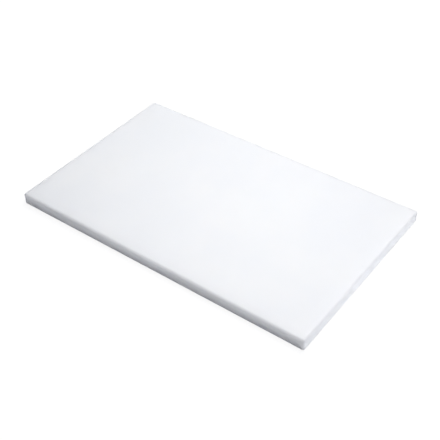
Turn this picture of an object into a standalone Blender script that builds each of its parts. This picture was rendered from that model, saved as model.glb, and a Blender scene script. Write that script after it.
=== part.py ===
"""White polyethylene cutting board: one solid slab, as large as a full-size food pan.

Metres, +Z up. The origin is the middle of the underside, and +X runs along the long side.
Both broad faces are plain and alike, so either one can be the working face. The rim stands
square to them. Its four corners are rounded as seen from above, and a small round-over
takes the sharpness off each broad face where it meets the rim.

Run it with blender --background --python part.py, or from Blender's text editor.
"""

import math

import bmesh
import bpy

# Driving dimensions, in metres
LENGTH = 0.530
WIDTH = 0.325
THICKNESS = 0.020
CORNER_RADIUS = 0.0035
EDGE_RADIUS = 0.003

# Facets in each quarter turn of a rounding
CORNER_FACETS = 8
EDGE_FACETS = 6

# The round-over has to stay inside the corner that it runs around and inside half the slab
LARGEST_SHARE = 0.95

# Polyethylene sheet: a cool white with a satin surface
SHEET_COLOUR = (0.86, 0.88, 0.90, 1.0)
SHEET_ROUGHNESS = 0.42
SHEET_IOR = 1.53

SHARP_ANGLE = math.radians(40)
SQUARE = 0.999  # a unit normal's share along Z that counts as straight up or down


def clear_scene():
    for existing in list(bpy.data.objects):
        bpy.data.objects.remove(existing, do_unlink=True)


def polyethylene():
    material = bpy.data.materials.new("white_polyethylene")
    material.use_nodes = True
    shader = material.node_tree.nodes["Principled BSDF"]
    shader.inputs["Base Color"].default_value = SHEET_COLOUR
    shader.inputs["Roughness"].default_value = SHEET_ROUGHNESS
    shader.inputs["Metallic"].default_value = 0.0
    shader.inputs["IOR"].default_value = SHEET_IOR
    return material


def sawn_blank():
    """The slab as it is sawn from the sheet, standing on z = 0 with its arrises sharp."""
    blank = bmesh.new()
    bmesh.ops.create_cube(blank, size=1.0)
    bmesh.ops.scale(blank, vec=(LENGTH, WIDTH, THICKNESS), verts=blank.verts)
    bmesh.ops.translate(blank, vec=(0.0, 0.0, THICKNESS / 2), verts=blank.verts)
    return blank


def round_edges(blank, edges, radius, facets):
    bmesh.ops.bevel(
        blank,
        geom=edges,
        offset=radius,
        offset_type="OFFSET",
        segments=facets,
        profile=0.5,
        affect="EDGES",
        material=-1,
    )
    blank.normal_update()


def upright_edges(blank):
    """The four edges where one side of the rim meets the next."""
    return [e for e in blank.edges if abs(e.verts[0].co.z - e.verts[1].co.z) > THICKNESS / 2]


def broad_face_edges(blank):
    """Both outlines of the slab: each edge there has a broad face on one side only."""
    return [e for e in blank.edges if sum(abs(f.normal.z) > SQUARE for f in e.link_faces) == 1]


def rounded_slab():
    blank = sawn_blank()
    blank.normal_update()
    round_edges(blank, upright_edges(blank), CORNER_RADIUS, CORNER_FACETS)
    edge_radius = min(EDGE_RADIUS, LARGEST_SHARE * CORNER_RADIUS, LARGEST_SHARE * THICKNESS / 2)
    round_edges(blank, broad_face_edges(blank), edge_radius, EDGE_FACETS)
    mesh = bpy.data.meshes.new("board")
    blank.to_mesh(mesh)
    blank.free()
    mesh.shade_smooth()
    mesh.set_sharp_from_angle(angle=SHARP_ANGLE)
    return mesh


def board():
    slab = bpy.data.objects.new("board", rounded_slab())
    slab.data.materials.append(polyethylene())
    bpy.context.scene.collection.objects.link(slab)
    return slab


def main():
    clear_scene()
    board()


main()
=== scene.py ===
"""The looks of the white polyethylene cutting board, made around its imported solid.

Metres, +Z up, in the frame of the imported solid. The board is modelled again with finer
roundings, in the same place and at the same size. Its material is milky polyethylene that
lets light in: the broad faces have the grain of pressed sheet, and the rim has the marks of
the cutter that trimmed it. A pale floor, soft lamps and the camera make up the studio.
"""

import math

import bmesh
import bpy
from mathutils import Matrix, Vector


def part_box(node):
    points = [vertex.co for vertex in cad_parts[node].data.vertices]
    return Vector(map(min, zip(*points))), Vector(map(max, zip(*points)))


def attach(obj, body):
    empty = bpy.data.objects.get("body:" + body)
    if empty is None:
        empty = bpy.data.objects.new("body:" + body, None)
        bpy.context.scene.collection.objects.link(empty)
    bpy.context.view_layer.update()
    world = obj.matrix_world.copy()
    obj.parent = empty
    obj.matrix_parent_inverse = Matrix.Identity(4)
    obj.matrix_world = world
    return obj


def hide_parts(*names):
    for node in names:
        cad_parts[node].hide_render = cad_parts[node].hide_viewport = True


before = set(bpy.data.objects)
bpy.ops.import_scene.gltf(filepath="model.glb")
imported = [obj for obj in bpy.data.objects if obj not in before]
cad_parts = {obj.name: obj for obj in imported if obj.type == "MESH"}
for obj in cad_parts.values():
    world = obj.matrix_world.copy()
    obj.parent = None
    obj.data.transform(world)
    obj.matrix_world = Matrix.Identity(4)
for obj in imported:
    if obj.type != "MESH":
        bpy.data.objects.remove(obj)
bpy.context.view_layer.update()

UP = Vector((0.0, 0.0, 1.0))
LEVEL = 0.999  # a unit normal's share along Z from which its face counts as level

# The board's roundings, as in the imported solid, and the facets in each quarter turn
CORNER_RADIUS = 0.0035
EDGE_RADIUS = 0.003
CORNER_FACETS = 16
EDGE_FACETS = 12

# A flat face starts this far inside its rounded edge, so that only the rounding is shaded round
FLAT_MARGIN = (CORNER_RADIUS - EDGE_RADIUS) / 2

# Polyethylene, whose clouds run from the first white to the paler one. The paler white is partly the
# sheet's own tone and partly painted sheen
SHEET_WHITE = (0.885, 0.903, 0.945)
SHEET_PALE_AND_SHEEN = (0.905, 0.918, 0.952)
SHEET_IOR = 1.53
LIGHT_DEPTH = 0.024
LIGHT_DEPTH_BY_COLOUR = (1.0, 0.98, 0.95)

# The clouds of own tone and painted sheen, and the noise levels at which they start and are at their
# palest
CLOUD_AND_SHEEN_SIZE = 0.09
CLOUD_AND_SHEEN_SEED = 26.5  # the draw of clouds whose pale streak, a painted sheen, lies as in the photograph
CLOUD_AND_SHEEN_START = 0.35
CLOUD_AND_SHEEN_FULL = 0.68

# The broad faces: a grain of low pebbles, with finer and fainter sand on them
GRAIN_SIZE = 0.0009
GRAIN_DEPTH = 0.000022
SAND_FINENESS = 3.7
SAND_SHARE = 0.35
FACE_ROUGHNESS = 0.46
CLOUD_AND_SHEEN_ROUGHNESS = -0.05  # what a cloud at its palest adds; its paleness is partly painted sheen

# The rim: an upright ripple that wanders a little, and streaks that run up the rim
RIPPLE_PITCH = 0.0016
RIPPLE_SHARE = 0.3
WANDER = 1.6
WANDERS_PER_PITCH = 0.11
STREAKS_PER_PITCH_ALONG = 2.3
STREAKS_PER_PITCH_UP = 0.06
MARKS_DEPTH = 0.000030
RIM_ROUGHNESS = 0.33
MARKS_ROUGHNESS = 0.08  # what the marks add

# How far in from a broad face the rim's finish begins, and is there in full
RIM_START = 0.00001
RIM_FULL = 0.0004

# The floor lies a hair below the board. Near the board, part of the white that the camera sees
# there is matte and takes the shadow. Further off the floor is as plain as the background.
FLOOR_SIDE = 12.0
FLOOR_DROP = 0.0002
FLOOR_COLOUR = (0.85, 0.85, 0.85)
FLOOR_WHITE = 1.05
FLOOR_MATTE_SEEN = 0.18
FLOOR_MATTE_MIRRORED = 0.85
SHADOW_REACH = 0.14
BACKGROUND_WHITE = (1.0, 1.0, 1.0)

# The studio's even light
SURROUND_COLOUR = (0.23, 0.40, 1.0)
SURROUND_STRENGTH = 0.045

# The lamps: one overhead, one beyond the far left corner, and a small one low on the right
OVERHEAD_LAMP = {
    "place": Vector((0.10, 0.10, 0.90)),
    "aim": Vector((0.10, 0.10, 0.0)),
    "width": 0.9,
    "length": 0.9,
    "power": 9.3,
    "colour": (1.0, 0.99, 0.985),
}
FAR_LEFT_LAMP = {
    "place": Vector((-0.96, 0.96, 0.85)),
    "aim": Vector((0.0, 0.0, 0.0)),
    "width": 1.3,
    "length": 1.3,
    "power": 5.7,
    "colour": (0.96, 0.985, 1.0),
}
LOW_RIGHT_LAMP = {
    "place": Vector((0.90, 0.0, 0.15)),
    "aim": Vector((0.265, 0.0, 0.01)),
    "width": 0.4,
    "length": 0.4,
    "power": 1.3,
    "colour": (0.88, 0.90, 1.0),
}

# The light that the white table throws up at the foot of the right side
FOOT_GLOW_GAP = 0.0005
FOOT_GLOW_HEIGHT = 0.0008
FOOT_GLOW_WIDTH = 0.008
FOOT_GLOW_POWER = 0.0135
FOOT_GLOW_COLOUR = (1.0, 0.99, 0.96)

# The camera, from the six straight lines of the board's outline in the photograph
CAMERA_FOCAL_LENGTH = 70.27
CAMERA_SENSOR = 36.0
CAMERA_TURN = math.radians(-37.64)
CAMERA_DIP = math.radians(40.97)
CAMERA_ROLL = math.radians(-1.41)
CAMERA_DISTANCE = 1.3447
CAMERA_AIM = Vector((0.0151, -0.0133, 0.0))


def finished(mesh_builder, name):
    """An object at the origin that holds the finished mesh."""
    mesh_builder.normal_update()
    mesh = bpy.data.meshes.new(name)
    mesh_builder.to_mesh(mesh)
    mesh_builder.free()
    piece = bpy.data.objects.new(name, mesh)
    bpy.context.scene.collection.objects.link(piece)
    return piece


# The board

def round_edges(slab, edges, radius, facets):
    bmesh.ops.bevel(
        slab,
        geom=edges,
        offset=radius,
        offset_type="OFFSET",
        segments=facets,
        profile=0.5,
        affect="EDGES",
        material=-1,
    )
    slab.normal_update()


def is_level(face):
    return abs(face.normal.z) > LEVEL


def board_slab():
    low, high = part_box("board")
    size = high - low
    slab = bmesh.new()
    bmesh.ops.create_cube(slab, size=1.0)
    bmesh.ops.scale(slab, vec=size, verts=slab.verts)
    bmesh.ops.translate(slab, vec=(low + high) / 2, verts=slab.verts)
    slab.normal_update()

    upright = [e for e in slab.edges if abs(e.verts[0].co.z - e.verts[1].co.z) > size.z / 2]
    round_edges(slab, upright, CORNER_RADIUS, CORNER_FACETS)
    outlines = [e for e in slab.edges if sum(is_level(f) for f in e.link_faces) == 1]
    round_edges(slab, outlines, EDGE_RADIUS, EDGE_FACETS)

    flat_sides = [f for f in slab.faces if is_level(f) or f.calc_area() > size.y * EDGE_RADIUS]
    bmesh.ops.inset_individual(slab, faces=flat_sides, thickness=FLAT_MARGIN, use_even_offset=True)

    piece = finished(slab, "board_slab")
    piece.data.shade_smooth()
    map_rim(piece.data, low, high)
    return piece


def map_rim(mesh, low, high):
    """A UV map in metres: U runs along the rim and V up it. The broad faces keep their X and Y."""
    middle = (low + high) / 2
    straight_x = high.x - middle.x - CORNER_RADIUS
    straight_y = high.y - middle.y - CORNER_RADIUS
    quarter = math.pi / 2 * CORNER_RADIUS
    half_round = 2 * (straight_x + straight_y + quarter)

    def along_rim(point):
        """Distance round the outline from the start of the right side, anticlockwise."""
        x, y = point.x - middle.x, point.y - middle.y
        turned = x < -straight_x or (abs(x) <= straight_x and y < 0)
        start = half_round if turned else 0.0
        if turned:
            x, y = -x, -y
        if x > straight_x and abs(y) <= straight_y:
            return start + straight_y + y
        if x <= straight_x and y > 0:
            return start + 2 * straight_y + quarter + straight_x - x
        angle = math.atan2(y - math.copysign(straight_y, y), x - straight_x)
        if y > 0:
            return start + 2 * straight_y + CORNER_RADIUS * angle
        return start + CORNER_RADIUS * angle

    rim_map = mesh.uv_layers.new(name="rim")
    for face in mesh.polygons:
        points = [mesh.vertices[v].co for v in face.vertices]
        if is_level(face):
            places = [(point.x, point.y) for point in points]
        else:
            places = [(along_rim(point), point.z) for point in points]
            furthest = max(u for u, _ in places)
            places = [(u + 2 * half_round if furthest - u > half_round else u, v) for u, v in places]
        for corner, place in zip(face.loop_indices, places):
            rim_map.data[corner].uv = place


# Shader nodes

def add_node(tree, kind, inputs=None, **settings):
    """A node of that kind. An input is a number or colour, or a socket to link from."""
    node = tree.nodes.new(kind)
    for name, value in settings.items():
        setattr(node, name, value)
    for name, value in (inputs or {}).items():
        if isinstance(value, bpy.types.NodeSocket):
            tree.links.new(value, node.inputs[name])
        else:
            node.inputs[name].default_value = value
    return node


def calculate(tree, operation, first, second=0.0, third=0.0):
    return add_node(
        tree, "ShaderNodeMath", {0: first, 1: second, 2: third}, operation=operation
    ).outputs[0]


def mix_numbers(tree, share, first, second):
    return add_node(tree, "ShaderNodeMix", {0: share, 2: first, 3: second}).outputs[0]


def mix_colours(tree, share, first, second):
    node = add_node(tree, "ShaderNodeMix", {0: share, 6: first, 7: second}, data_type="RGBA")
    return node.outputs[2]


def rise(tree, value, start, full):
    """0 where the value is at the start and 1 where it is at the full end, with soft ends."""
    return add_node(
        tree,
        "ShaderNodeMapRange",
        {"Value": value, "From Min": start, "From Max": full},
        interpolation_type="SMOOTHSTEP",
    ).outputs["Result"]


def noise(tree, place, scale, detail, roughness=0.5, seed=None):
    """Noise between 0 and 1. With a seed it is drawn anew for each value of the seed."""
    inputs = {"Vector": place, "Scale": scale, "Detail": detail, "Roughness": roughness}
    settings = {}
    if seed is not None:
        inputs["W"] = seed
        settings["noise_dimensions"] = "4D"
    return add_node(tree, "ShaderNodeTexNoise", inputs, **settings).outputs["Fac"]


def group_tree(name, numbers, output):
    """An empty node group from a vector and numbers to one number, and its two end nodes."""
    tree = bpy.data.node_groups.new(name, "ShaderNodeTree")
    tree.interface.new_socket(name="Vector", in_out="INPUT", socket_type="NodeSocketVector")
    for number in numbers:
        tree.interface.new_socket(name=number, in_out="INPUT", socket_type="NodeSocketFloat")
    tree.interface.new_socket(name=output, in_out="OUTPUT", socket_type="NodeSocketFloat")
    return tree, tree.nodes.new("NodeGroupInput"), tree.nodes.new("NodeGroupOutput")


def use_group(tree, group, inputs):
    return add_node(tree, "ShaderNodeGroup", inputs, node_tree=group).outputs[0]


def pressed_grain():
    """The even matte grain that a press plate leaves: low pebbles with finer sand on them."""
    tree, given, result = group_tree("pressed_grain", ["Grain Size"], "Height")
    place = given.outputs["Vector"]
    grains_per_metre = calculate(tree, "DIVIDE", 1.0, given.outputs["Grain Size"])
    pebbles = noise(tree, place, grains_per_metre, detail=2.0, roughness=0.6)
    sand_per_metre = calculate(tree, "MULTIPLY", grains_per_metre, SAND_FINENESS)
    sand = noise(tree, place, sand_per_metre, detail=1.0)
    height = calculate(tree, "MULTIPLY_ADD", sand, SAND_SHARE, pebbles)
    tree.links.new(height, result.inputs["Height"])
    return tree


def cutter_marks():
    """The fine upright ripple that a spinning cutter leaves along the rim."""
    tree, given, result = group_tree("cutter_marks", ["Pitch"], "Height")
    parts = add_node(tree, "ShaderNodeSeparateXYZ", {0: given.outputs["Vector"]})
    along = calculate(tree, "DIVIDE", parts.outputs["X"], given.outputs["Pitch"])
    up = calculate(tree, "DIVIDE", parts.outputs["Y"], given.outputs["Pitch"])

    def flat_place(x, y):
        return add_node(tree, "ShaderNodeCombineXYZ", {"X": x, "Y": y}).outputs[0]

    wander = noise(tree, flat_place(along, up), WANDERS_PER_PITCH, detail=2.0)
    phase = calculate(tree, "MULTIPLY_ADD", wander, WANDER, along)
    ripple = calculate(tree, "SINE", calculate(tree, "MULTIPLY", phase, math.tau))
    drawn_out = flat_place(
        calculate(tree, "MULTIPLY", along, STREAKS_PER_PITCH_ALONG),
        calculate(tree, "MULTIPLY", up, STREAKS_PER_PITCH_UP),
    )
    streaks = noise(tree, drawn_out, 1.0, detail=3.0)
    height = calculate(tree, "MULTIPLY_ADD", ripple, RIPPLE_SHARE, streaks)
    tree.links.new(height, result.inputs["Height"])
    return tree


def milky_clouds_and_painted_sheen():
    """Wide soft patches where the sheet is a little paler or duller, partly its own tone and partly
    painted sheen.
    """
    tree, given, result = group_tree("milky_clouds_and_painted_sheen", ["Cloud And Sheen Size", "Seed"], "Paleness")
    clouds_and_sheen_per_metre = calculate(tree, "DIVIDE", 1.0, given.outputs["Cloud And Sheen Size"])
    clouds_and_sheen = noise(
        tree,
        given.outputs["Vector"],
        clouds_and_sheen_per_metre,
        detail=2.0,
        roughness=0.45,
        seed=given.outputs["Seed"],
    )
    paleness = rise(tree, clouds_and_sheen, CLOUD_AND_SHEEN_START, CLOUD_AND_SHEEN_FULL)
    tree.links.new(paleness, result.inputs["Paleness"])
    return tree


def polyethylene(low, high):
    material = bpy.data.materials.new("milky_polyethylene")
    material.use_nodes = True
    tree = material.node_tree
    shader = tree.nodes["Principled BSDF"]
    coordinates = add_node(tree, "ShaderNodeTexCoord")
    place, rim_place = coordinates.outputs["Object"], coordinates.outputs["UV"]

    height = add_node(tree, "ShaderNodeSeparateXYZ", {0: place}).outputs["Z"]
    off_middle = calculate(tree, "SUBTRACT", height, (low.z + high.z) / 2)
    half = (high.z - low.z) / 2
    trimmed = rise(
        tree, calculate(tree, "ABSOLUTE", off_middle), half - RIM_START, half - RIM_FULL
    )

    clouds_and_sheen = use_group(
        tree, milky_clouds_and_painted_sheen(), {"Vector": place, "Cloud And Sheen Size": CLOUD_AND_SHEEN_SIZE, "Seed": CLOUD_AND_SHEEN_SEED}
    )
    grain = use_group(tree, pressed_grain(), {"Vector": place, "Grain Size": GRAIN_SIZE})
    marks = use_group(tree, cutter_marks(), {"Vector": rim_place, "Pitch": RIPPLE_PITCH})

    # The paler white of the clouds is partly the sheet's own tone and partly painted sheen.
    colour = mix_colours(tree, clouds_and_sheen, (*SHEET_WHITE, 1.0), (*SHEET_PALE_AND_SHEEN, 1.0))
    roughness = mix_numbers(
        tree,
        trimmed,
        calculate(tree, "MULTIPLY_ADD", clouds_and_sheen, CLOUD_AND_SHEEN_ROUGHNESS, FACE_ROUGHNESS),
        calculate(tree, "MULTIPLY_ADD", marks, MARKS_ROUGHNESS, RIM_ROUGHNESS),
    )
    relief = mix_numbers(
        tree,
        trimmed,
        calculate(tree, "MULTIPLY", grain, GRAIN_DEPTH),
        calculate(tree, "MULTIPLY", marks, MARKS_DEPTH),
    )
    bump = add_node(tree, "ShaderNodeBump", {"Height": relief, "Distance": 1.0, "Strength": 1.0})
    tree.links.new(colour, shader.inputs["Base Color"])
    tree.links.new(roughness, shader.inputs["Roughness"])
    tree.links.new(bump.outputs["Normal"], shader.inputs["Normal"])

    shader.inputs["IOR"].default_value = SHEET_IOR
    shader.inputs["Subsurface Weight"].default_value = 1.0
    shader.inputs["Subsurface Radius"].default_value = LIGHT_DEPTH_BY_COLOUR
    shader.inputs["Subsurface Scale"].default_value = LIGHT_DEPTH
    return material


# The studio

def seen_or_mirrored(tree):
    """1 for the camera and for what the board mirrors or lets through, and 0 for lighting."""
    path = add_node(tree, "ShaderNodeLightPath")
    by_the_board = calculate(
        tree, "MAXIMUM", path.outputs["Is Glossy Ray"], path.outputs["Is Transmission Ray"]
    )
    return calculate(tree, "MAXIMUM", path.outputs["Is Camera Ray"], by_the_board)


def distance_from_outline(tree, low, high):
    """How far a point of the floor lies outside the board's outline, in metres."""
    half = (high - low) / 2
    outside = add_node(tree, "ShaderNodeTexCoord").outputs["Object"]
    for operation, value in (
        ("SUBTRACT", (low + high) / 2),
        ("ABSOLUTE", None),
        ("SUBTRACT", half),
        ("MAXIMUM", (0.0, 0.0, 0.0)),
        ("MULTIPLY", (1.0, 1.0, 0.0)),
    ):
        inputs = {0: outside} if value is None else {0: outside, 1: value}
        outside = add_node(tree, "ShaderNodeVectorMath", inputs, operation=operation).outputs[0]
    return add_node(tree, "ShaderNodeVectorMath", {0: outside}, operation="LENGTH").outputs["Value"]


def floor_material(low, high):
    """A pale floor that the camera sees as white, and clear to a camera below it."""
    material = bpy.data.materials.new("floor")
    material.use_nodes = True
    tree = material.node_tree
    tree.nodes.remove(tree.nodes["Principled BSDF"])
    near = rise(tree, distance_from_outline(tree, low, high), SHADOW_REACH, 0.0)
    matte_share = mix_numbers(
        tree,
        add_node(tree, "ShaderNodeLightPath").outputs["Is Glossy Ray"],
        calculate(tree, "MULTIPLY", near, FLOOR_MATTE_SEEN),
        calculate(tree, "MULTIPLY", near, FLOOR_MATTE_MIRRORED),
    )
    white_matte = add_node(tree, "ShaderNodeBsdfDiffuse", {"Color": matte_share})
    glow_strength = calculate(tree, "SUBTRACT", FLOOR_WHITE, matte_share)
    glow = add_node(
        tree,
        "ShaderNodeEmission",
        {"Color": (*BACKGROUND_WHITE, 1.0), "Strength": glow_strength},
    )
    white = add_node(tree, "ShaderNodeAddShader", {0: white_matte.outputs[0], 1: glow.outputs[0]})
    matte = add_node(tree, "ShaderNodeBsdfDiffuse", {"Color": (*FLOOR_COLOUR, 1.0)})
    top = add_node(
        tree,
        "ShaderNodeMixShader",
        {0: seen_or_mirrored(tree), 1: matte.outputs[0], 2: white.outputs[0]},
    )
    underneath = add_node(tree, "ShaderNodeBsdfTransparent")
    side = add_node(
        tree,
        "ShaderNodeMixShader",
        {
            0: add_node(tree, "ShaderNodeNewGeometry").outputs["Backfacing"],
            1: top.outputs[0],
            2: underneath.outputs[0],
        },
    )
    tree.links.new(side.outputs[0], tree.nodes["Material Output"].inputs["Surface"])
    return material


def add_floor():
    builder = bmesh.new()
    bmesh.ops.create_grid(builder, x_segments=1, y_segments=1, size=FLOOR_SIDE / 2)
    bmesh.ops.translate(builder, vec=(0.0, 0.0, -FLOOR_DROP), verts=builder.verts)
    floor = finished(builder, "floor")
    floor.data.materials.append(floor_material(*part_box("board")))


def light_the_surround():
    """A little even light from all round, and plain white for the camera and in reflections."""
    world = bpy.data.worlds.new("studio")
    bpy.context.scene.world = world
    world.use_nodes = True
    tree = world.node_tree
    tree.nodes.clear()
    even = add_node(
        tree,
        "ShaderNodeBackground",
        {"Color": (*SURROUND_COLOUR, 1.0), "Strength": SURROUND_STRENGTH},
    )
    white = add_node(
        tree, "ShaderNodeBackground", {"Color": (*BACKGROUND_WHITE, 1.0), "Strength": 1.0}
    )
    seen = add_node(
        tree,
        "ShaderNodeMixShader",
        {0: seen_or_mirrored(tree), 1: even.outputs[0], 2: white.outputs[0]},
    )
    output = tree.nodes.new("ShaderNodeOutputWorld")
    tree.links.new(seen.outputs[0], output.inputs["Surface"])


def add_soft_lamp(name, place, aim, width, length, power, colour):
    """A soft panel of light. Its length lies as near to upright as its aim allows."""
    lamp = bpy.data.lights.new(name, "AREA")
    lamp.shape = "RECTANGLE"
    lamp.size = width
    lamp.size_y = length
    lamp.energy = power
    lamp.color = colour
    holder = bpy.data.objects.new(name, lamp)
    holder.location = place
    holder.rotation_euler = (aim - place).to_track_quat("-Z", "Y").to_euler()
    bpy.context.scene.collection.objects.link(holder)
    return holder


def hide_panel(lamp):
    """Only what the lamp lights is seen, and not its panel, from any side or in the board's gloss."""
    lamp.visible_camera = False
    lamp.visible_glossy = False


def add_foot_glow(low, high):
    """A strip of light that lies on the floor along the right side."""
    place = Vector((
        high.x + FOOT_GLOW_GAP + FOOT_GLOW_WIDTH / 2,
        (low.y + high.y) / 2,
        low.z + FOOT_GLOW_HEIGHT,
    ))
    length = high.y - low.y
    hide_panel(add_soft_lamp(
        "foot_glow", place, place + UP, FOOT_GLOW_WIDTH, length, FOOT_GLOW_POWER, FOOT_GLOW_COLOUR
    ))


def add_camera():
    forward = Vector((
        math.sin(CAMERA_TURN) * math.cos(CAMERA_DIP),
        math.cos(CAMERA_TURN) * math.cos(CAMERA_DIP),
        -math.sin(CAMERA_DIP),
    ))
    upright = forward.to_track_quat("-Z", "Y").to_matrix()
    turned = upright @ Matrix.Rotation(CAMERA_ROLL, 3, "Z")
    camera = bpy.data.objects.new("camera", bpy.data.cameras.new("camera"))
    camera.data.lens = CAMERA_FOCAL_LENGTH
    camera.data.sensor_width = CAMERA_SENSOR
    camera.matrix_world = Matrix.Translation(CAMERA_AIM - forward * CAMERA_DISTANCE) @ turned.to_4x4()
    bpy.context.scene.collection.objects.link(camera)
    bpy.context.scene.camera = camera


slab = board_slab()
slab.data.materials.append(polyethylene(*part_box("board")))
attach(slab, "root")
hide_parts("board")

add_floor()
light_the_surround()
add_soft_lamp("overhead_lamp", **OVERHEAD_LAMP)
add_soft_lamp("far_left_lamp", **FAR_LEFT_LAMP)
hide_panel(add_soft_lamp("low_right_lamp", **LOW_RIGHT_LAMP))
add_foot_glow(*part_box("board"))
add_camera()
bpy.context.scene.view_settings.view_transform = "Standard"
